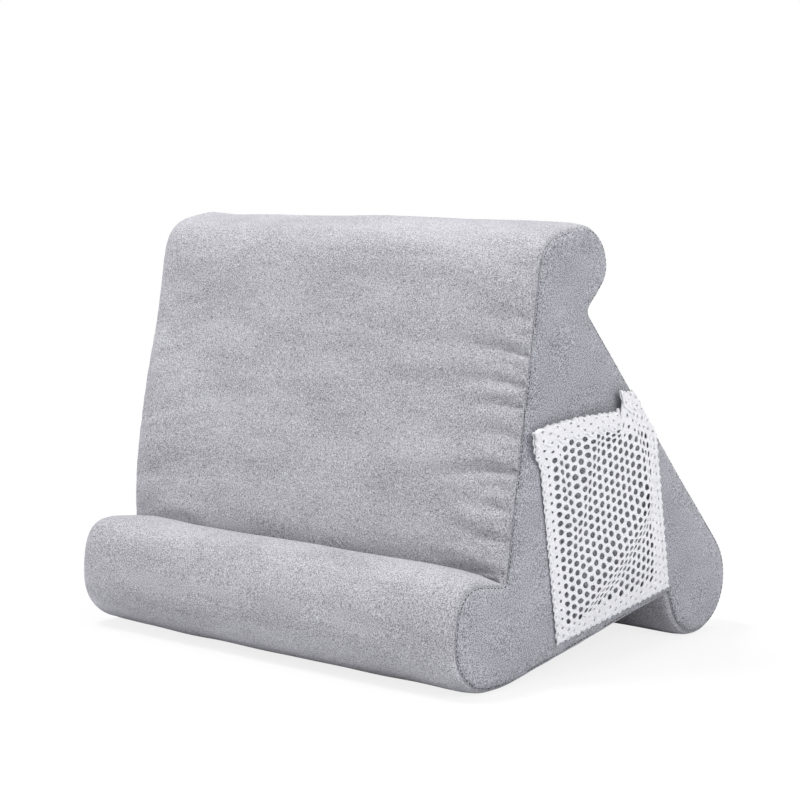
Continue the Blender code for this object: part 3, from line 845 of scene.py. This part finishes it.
def open_meshes(bm):
    """Inset every mesh by its own amount and take its middle out."""
    for face in bm.faces[:]:
        u, v, _ = face.calc_center_median()
        lies_u, lies_v, layer = folded(u, v)
        rear_room = min(POCKET_WIDTH - lies_u, seam_room(lies_u, lies_v))
        in_hem = lies_v > POCKET_HEIGHT - HEM
        doubled = layer != 0 or in_hem or min(lies_u, lies_v, rear_room) < DENSE_BORDER
        gathered = rear_room < DENSE_REAR and lies_v < DENSE_REAR_TOP
        ear = lies_u > SLIT_PLACE and lies_v > POCKET_HEIGHT - 2 * HEM
        corner = lies_u < DENSE_CORNER and lies_v > POCKET_HEIGHT - DENSE_CORNER
        strand = BORDER_STRAND if doubled or gathered or ear or corner else STRAND
        if in_hem:
            strand = HEM_STRAND
        strand += HOLE_SPREAD * noise.noise(Vector((u, v, 0)) / SPREAD_LENGTH)
        bmesh.ops.inset_individual(bm, faces=[face], thickness=strand, depth=0, use_even_offset=True)
        bmesh.ops.delete(bm, geom=[face], context="FACES_ONLY")


mesh_count = len(net_bm.faces)
cut_pattern(net_bm)
cut_area = sum(face.calc_area() for face in net_bm.faces)
print("cut away", mesh_count - len(net_bm.faces), "meshes; holes:", len(net_bm.faces))
open_meshes(net_bm)

# %% [markdown]
# ### Folds in the net
# The net is slack, so it falls into a few folds. Each fold is a line from one place of the net to
# another. Along it the net stands up in a soft ridge, and its meshes are drawn together across the
# line, which is why their holes look narrow and slanted there.
# %% Shape of the hanging net
# Each fold: its two ends on the net, its rise, its half width and how far it draws the meshes together
NET_FOLDS = (
    ((0.013, 0.100), (0.019, 0.046), 1.2 * MM, 4.5 * MM, 0.45),
    ((0.042, 0.100), (0.021, 0.050), 2.0 * MM, 6.0 * MM, 0.52),
    ((0.084, 0.052), (0.018, 0.006), 1.4 * MM, 11.0 * MM, 0.55),
    ((0.058, 0.026), (0.012, -0.002), 0.8 * MM, 6.0 * MM, 0.25),
    ((0.0075, 0.050), (0.0108, 0.002), 1.2 * MM, 1.8 * MM, 0.35),
    ((0.070, 0.104), (0.080, 0.052), 1.8 * MM, 5.0 * MM, 0.20),
)
SAG = 1.2 * MM
DRAWN_FROM = 10 * MM       # the meshes are drawn together fully as far as this from the sewn edges
print(len(NET_FOLDS), "folds in the net")


def clamp(value):
    """The value, kept between 0 and 1."""
    return min(max(value, 0), 1)


def net_shape(u, v):
    """Place on the net after the folds have drawn it together, and its height over the border."""
    rear_room = min(POCKET_WIDTH - u, seam_room(u, v))
    room = min(u, v, rear_room)
    bulge = 1.0
    for width, reach in ((u, BULGE_FROM_FRONT), (rear_room, BULGE_FROM_REAR), (v, BULGE_FROM_FOOT)):
        bulge *= sin(pi / 2 * clamp((width - FLAT_BORDER) / reach))
    lift = BULGE * bulge
    for start, end, rise, width, draw in NET_FOLDS:
        start, end = Vector(start), Vector(end)
        line = end - start
        away = Vector((u, v)) - start
        along = away.dot(line) / line.length_squared
        across = (away.x * line.y - away.y * line.x) / line.length
        near = clamp((1.25 - abs(2 * along - 1)) / 0.5) * hill(across, width)
        lift += rise * near * bulge
        pull = draw * near * across * clamp(room / DRAWN_FROM)
        u -= pull * line.y / line.length
        v += pull * line.x / line.length
    v -= SAG * bulge * sin(pi * clamp(v / POCKET_HEIGHT))
    return u, v, lift


# %% The mouth of the pocket
EAR_PLACE = 64 * MM        # the rear end of the hem is caught in the seam and stands up as an ear
EAR_RISE = 3.0 * MM
EAR_WIDTH = 5.0 * MM
FLARE = 8 * MM             # the front end of the hem stands forward of the sewn edge, and off the panel
FLARE_LIFT = 1.5 * MM
FLARE_REACH = 9 * MM
MOUTH_FROM = 2.2 * HEM     # the mouth's own shape sets in as far as this below it,
MOUTH_RUN = 1.6 * HEM      # and is complete after this stretch
MOUTH_DROP = 6.5 * MM      # and the hem falls towards the rear, down to the slit


def mouth_shape(u, v, lift):
    """Move what lies near the mouth: the flare in front, the dip, the slit and the ear behind."""
    near = clamp((v - (POCKET_HEIGHT - MOUTH_FROM)) / MOUTH_RUN)
    near = near * near * (3 - 2 * near)
    past_slit = clamp((u - SLIT_PLACE) / MESH_ACROSS + 0.5)
    v += near * past_slit * EAR_RISE * hill(u - EAR_PLACE, EAR_WIDTH)
    v -= near * (1 - past_slit) * MOUTH_DROP * clamp(u / SLIT_PLACE) ** 2
    u -= near * FLARE * np.exp(-u / FLARE_REACH)
    lift += near * FLARE_LIFT * np.exp(-u / FLARE_REACH)
    return u, v, lift


# %% Edges of the net, and the whole way from the cut to the panel
SCALLOP = 0.5 * MM         # the knitted loops make a small wave of every edge
SCALLOP_REACH = 1.6 * MM
HEM_LIFT = 1.2 * LAYER_STEP  # the turned hem lies over the net
WOBBLE_LENGTH = 2.4 * MM   # no mesh lies quite flat or quite in its row
WOBBLE_LIFT = 0.28 * MM
WOBBLE_SHIFT = 0.30 * MM


def scallop(u, v):
    """Push the edges of the pocket out and in, once for each mesh."""
    beside, along = SCALLOP * cos(2 * pi * v / MESH_UP), SCALLOP * cos(2 * pi * u / MESH_ACROSS)
    new_u = u - beside * (np.exp(-u / SCALLOP_REACH) - np.exp((u - POCKET_WIDTH) / SCALLOP_REACH))
    new_v = v - along * (np.exp(-v / SCALLOP_REACH) - np.exp((v - POCKET_HEIGHT) / SCALLOP_REACH))
    return new_u, new_v


def hang(flat_u, flat_v):
    """Point of the finished pocket for a place of the flat cut."""
    u, v, layer = folded(flat_u, flat_v)
    u, v = scallop(u, v)
    u, v, lift = net_shape(u, v)
    u, v, lift = mouth_shape(u, v, lift)
    if layer < 0:
        past = max(-flat_u, -flat_v, flat_u - POCKET_WIDTH, -seam_room(flat_u, flat_v))
        lift -= LAYER_STEP * min(past / MM, 1)
    if layer > 0:
        lift += HEM_LIFT * min((flat_v - POCKET_HEIGHT) / MM, 1)
    wobble = Vector((flat_u, flat_v, 0)) / WOBBLE_LENGTH
    lift += WOBBLE_LIFT * noise.noise(wobble)
    u += WOBBLE_SHIFT * noise.noise(wobble + Vector((7, 0, 0)))
    v += WOBBLE_SHIFT * noise.noise(wobble + Vector((0, 9, 0)))
    return to_panel(u, v, BORDER_LIFT + lift)


# %% [markdown]
# ### The yarn of the net
# Knitted yarn is a row of small loops. A Voronoi texture has a cell for each loop, and because it
# reads the flat cut's own UV map, the loops follow the net through its folds. Some light passes
# through the yarn, which is what subsurface scattering is for.
# %% Net material
KNIT_SCALE = 1500.0


def add_cells(tree, coordinates, scale):
    """Distance from the middle of each cell of a Voronoi texture."""
    cells = tree.nodes.new("ShaderNodeTexVoronoi")
    cells.inputs["Scale"].default_value = scale
    tree.links.new(tree.nodes.new("ShaderNodeTexCoord").outputs[coordinates], cells.inputs["Vector"])
    return cells.outputs["Distance"]


def make_net_material():
    """White knitted yarn: small loops, slightly bluish in their shade."""
    material, tree, shader = blank_material("white_net")
    loops = add_cells(tree, "UV", KNIT_SCALE)
    lay_pattern(tree, shader, loops, (0.96, 0.955, 0.99), (0.82, 0.815, 0.88), 0.18 * MM, sunken=True)
    shader.inputs["Roughness"].default_value = 0.7
    shader.inputs["Sheen Weight"].default_value = 0.2
    shader.inputs["Subsurface Weight"].default_value = 0.6
    shader.inputs["Subsurface Scale"].default_value = 2 * MM
    shader.inputs["Subsurface Radius"].default_value = (1, 1, 1)
    return material


white_net = make_net_material()
print("net material:", white_net.name)

# %% Finish the pocket
NET_THICKNESS = 0.55 * MM
pocket = add_piece(net_bm, "net_pocket", white_net, "net", "mesh_pocket")
rounder = pocket.modifiers.new("rounder", "SUBSURF")
rounder.levels = rounder.render_levels = 1
bake_modifiers(pocket)
flat_places = [vert.co.copy() for vert in pocket.data.vertices]
layout = pocket.data.uv_layers.new(name="flat_cut")
for loop in pocket.data.loops:
    layout.data[loop.index].uv = flat_places[loop.vertex_index].xy
for vert in pocket.data.vertices:
    vert.co = hang(vert.co.x, vert.co.y)
wall = pocket.modifiers.new("wall", "SOLIDIFY")
wall.thickness = NET_THICKNESS
wall.offset = 0
bake_modifiers(pocket)

# %% [markdown]
# ### The pocket's stitches
# One row of stitches holds the border of the pocket and one holds its hem. Each stitch is laid
# between two places of the flat cut, so that it lies on the net wherever the net's folds carry it.
# %% Stitches of the pocket
POCKET_STITCH_STEP = 3.2 * MM
POCKET_STITCH_LENGTH = 2.3 * MM
POCKET_STITCH_RADIUS = 0.24 * MM
STITCH_INSET = 3.0 * MM    # from the edge of the pocket
STITCH_LIFT = 0.1 * MM     # a stitch lies a little over the net's surface


def stitch_along(bm, corners, extra_lift):
    """Stitches over the net along a line through places of the net."""
    bar = make_bar(POCKET_STITCH_LENGTH, POCKET_STITCH_RADIUS)
    for start, end in zip(corners, corners[1:]):
        start, end = Vector(start), Vector(end)
        count = max(1, round((end - start).length / POCKET_STITCH_STEP))
        for index in range(count):
            ends = [hang(*start.lerp(end, (index + share) / count)) for share in (0.15, 0.85)]
            over = Vector((NET_THICKNESS / 2 + extra_lift, 0, 0))
            add_stitch(bm, bar, (ends[0] + ends[1]) / 2 + over, ends[1] - ends[0])


border_bm = bmesh.new()
top_of_border = POCKET_HEIGHT - HEM - STITCH_INSET
far_edge = POCKET_WIDTH - STITCH_INSET
cut_height = seam_point.y - (far_edge - seam_point.x) * seam_out.x / seam_out.y - 2 * STITCH_INSET
stitch_along(border_bm, [(STITCH_INSET, top_of_border), (STITCH_INSET, STITCH_INSET),
                         (far_edge, STITCH_INSET), (far_edge, cut_height)], STITCH_LIFT)
add_piece(border_bm, "pocket_border_stitches", white_thread, "white_thread", "pocket_seam_thread")
hem_bm = bmesh.new()
hem_row = POCKET_HEIGHT - 0.8 * HEM
stitch_along(hem_bm, [(STITCH_INSET, hem_row), (SLIT_PLACE, hem_row)], HEM_LIFT + STITCH_LIFT)
add_piece(hem_bm, "pocket_hem_stitches", white_thread, "white_thread", "pocket_hem_thread")

# %% [markdown]
# ## The foam inside
# The foam block is cut a little inside the outline of the seams, so that it never comes through
# where the cover lies low. It doesn't show from outside, and it has an open-cell finish for the day
# that someone takes the cover off. The darkness of its pores is painted shade.
# %% Foam finish
PORE_SCALE = 900.0


def make_foam():
    """Open-cell foam: a pale body, with painted shade in its small pores."""
    material, tree, shader = blank_material("foam")
    pores = add_cells(tree, "Object", PORE_SCALE)
    lay_pattern(tree, shader, pores, (0.58, 0.54, 0.42), (0.84, 0.81, 0.70), 0.3 * MM)
    shader.inputs["Roughness"].default_value = 0.95
    return material


# %% Foam block
FOAM_RISE = -1.4 * MM      # the block is a little smaller than the outline of the seams
FOAM_SETBACK = 1.5 * MM    # and it ends inside the side panels
FOAM_EDGE = ((0.6 * MM, 1.4 * MM), (1.4 * MM, 0.6 * MM))  # inset and depth of its two bevel steps


def make_foam_block():
    """The outline, drawn out across the width, with rounded edges."""
    bm = bmesh.new()
    start = left_seam + FOAM_SETBACK + sum(depth for _, depth in FOAM_EDGE)
    width = right_seam + left_seam - 2 * start
    near_end = fill_outline(bm, start, FOAM_RISE)
    drawn = bmesh.ops.extrude_face_region(bm, geom=near_end, use_keep_orig=True)["geom"]
    far_end = [item for item in drawn if isinstance(item, bmesh.types.BMVert)]
    bmesh.ops.translate(bm, vec=(width, 0, 0), verts=far_end)
    bmesh.ops.recalc_face_normals(bm, faces=bm.faces[:])
    ends = [face for face in bm.faces if len(face.verts) > 4]
    for inset, depth in FOAM_EDGE:
        bmesh.ops.inset_region(bm, faces=ends, thickness=inset, depth=depth, use_even_offset=True)
    bmesh.ops.triangulate(bm, faces=ends)
    return bm


foam_block = add_piece(make_foam_block(), "foam_block", make_foam(), "foam", "foam_core")

# %% [markdown]
# ## Studio
# The stand is lit as in a product photograph: even light from all round, and a soft key lamp high in
# front, whose steep light shows every gather of the cloth. A lamp over the head brightens the top,
# one on the right lights the panel and the net, and a weak one low in front opens the shade under
# the lip. The floor is pale and keeps a soft shadow. For the camera, floor and world are lifted to
# white, which puts no more light on the object.
# %% Floor, world and lamps
WORLD_LIGHT = 0.34
FLOOR_SIZE = 3.0
FLOOR_DROP = 0.2 * MM      # the floor lies just under the stand
FLOOR_WHITE = 0.76         # share of plain white that the camera sees in the floor under the stand
WHITE_GAIN = 0.5           # and how much that share grows with each metre from it
LAMPS = (                  # name, place, power in watts, size
    ("key", (-0.5, -0.65, 2.1), 34.0, 0.5),
    ("top", (0.1, 0.5, 2.0), 12.0, 0.9),
    ("fill", (1.6, -0.4, 1.1), 16.0, 0.9),
    ("front", (-1.2, -1.4, 0.4), 3.5, 0.9),
)


def make_floor():
    """A pale floor that the camera sees as nearly white."""
    bm = bmesh.new()
    bmesh.ops.create_circle(bm, cap_ends=True, segments=64, radius=FLOOR_SIZE)
    mesh = bpy.data.meshes.new("floor")
    bm.to_mesh(mesh)
    bm.free()
    floor = bpy.data.objects.new("floor", mesh)
    floor.location.z = -FLOOR_DROP
    bpy.context.scene.collection.objects.link(floor)
    material, tree, shader = blank_material("floor")
    shader.inputs["Base Color"].default_value = (0.80, 0.80, 0.82, 1)
    shader.inputs["Roughness"].default_value = 0.9
    path = tree.nodes.new("ShaderNodeLightPath")
    white = tree.nodes.new("ShaderNodeEmission")
    mix = tree.nodes.new("ShaderNodeMixShader")
    reach = tree.nodes.new("ShaderNodeVectorMath")
    reach.operation = "LENGTH"
    tree.links.new(tree.nodes.new("ShaderNodeTexCoord").outputs["Object"], reach.inputs[0])
    share = calculate(tree, "MULTIPLY", reach.outputs["Value"], WHITE_GAIN)
    share = calculate(tree, "MINIMUM", calculate(tree, "ADD", share, FLOOR_WHITE), 1.0)
    share = calculate(tree, "MULTIPLY", path.outputs["Is Camera Ray"], share)
    tree.links.new(share, mix.inputs[0])
    tree.links.new(shader.outputs[0], mix.inputs[1])
    tree.links.new(white.outputs[0], mix.inputs[2])
    tree.links.new(mix.outputs[0], tree.nodes["Material Output"].inputs["Surface"])
    mesh.materials.append(material)


def make_world():
    """Even light, seen as white by the camera and in reflections."""
    world = bpy.data.worlds.new("studio")
    world.use_nodes = True
    tree = world.node_tree
    tree.nodes.clear()
    path = tree.nodes.new("ShaderNodeLightPath")
    seen = calculate(tree, "MAXIMUM", path.outputs["Is Camera Ray"], path.outputs["Is Glossy Ray"])
    seen = calculate(tree, "MAXIMUM", seen, path.outputs["Is Transmission Ray"])
    light = tree.nodes.new("ShaderNodeBackground")
    light.inputs["Color"].default_value = (0.97, 0.98, 1.0, 1)
    light.inputs["Strength"].default_value = WORLD_LIGHT
    white = tree.nodes.new("ShaderNodeBackground")
    white.inputs["Color"].default_value = (1, 1, 1, 1)
    white.inputs["Strength"].default_value = 1.0
    mix = tree.nodes.new("ShaderNodeMixShader")
    out = tree.nodes.new("ShaderNodeOutputWorld")
    tree.links.new(seen, mix.inputs[0])
    tree.links.new(light.outputs[0], mix.inputs[1])
    tree.links.new(white.outputs[0], mix.inputs[2])
    tree.links.new(mix.outputs[0], out.inputs["Surface"])
    bpy.context.scene.world = world


def add_lamp(name, place, power, size):
    """A square area lamp that points at the middle of the stand."""
    data = bpy.data.lights.new(name, "AREA")
    data.energy = power
    data.size = size
    lamp = bpy.data.objects.new(name, data)
    bpy.context.scene.collection.objects.link(lamp)
    lamp.location = place
    lamp.rotation_euler = (Vector((0, 0, 0.1)) - lamp.location).to_track_quat("-Z", "Y").to_euler()


make_floor()
make_world()
for lamp_row in LAMPS:
    add_lamp(*lamp_row)
bpy.context.scene.view_settings.view_transform = "Standard"
print("floor, world and", len(LAMPS), "lamps are in place")
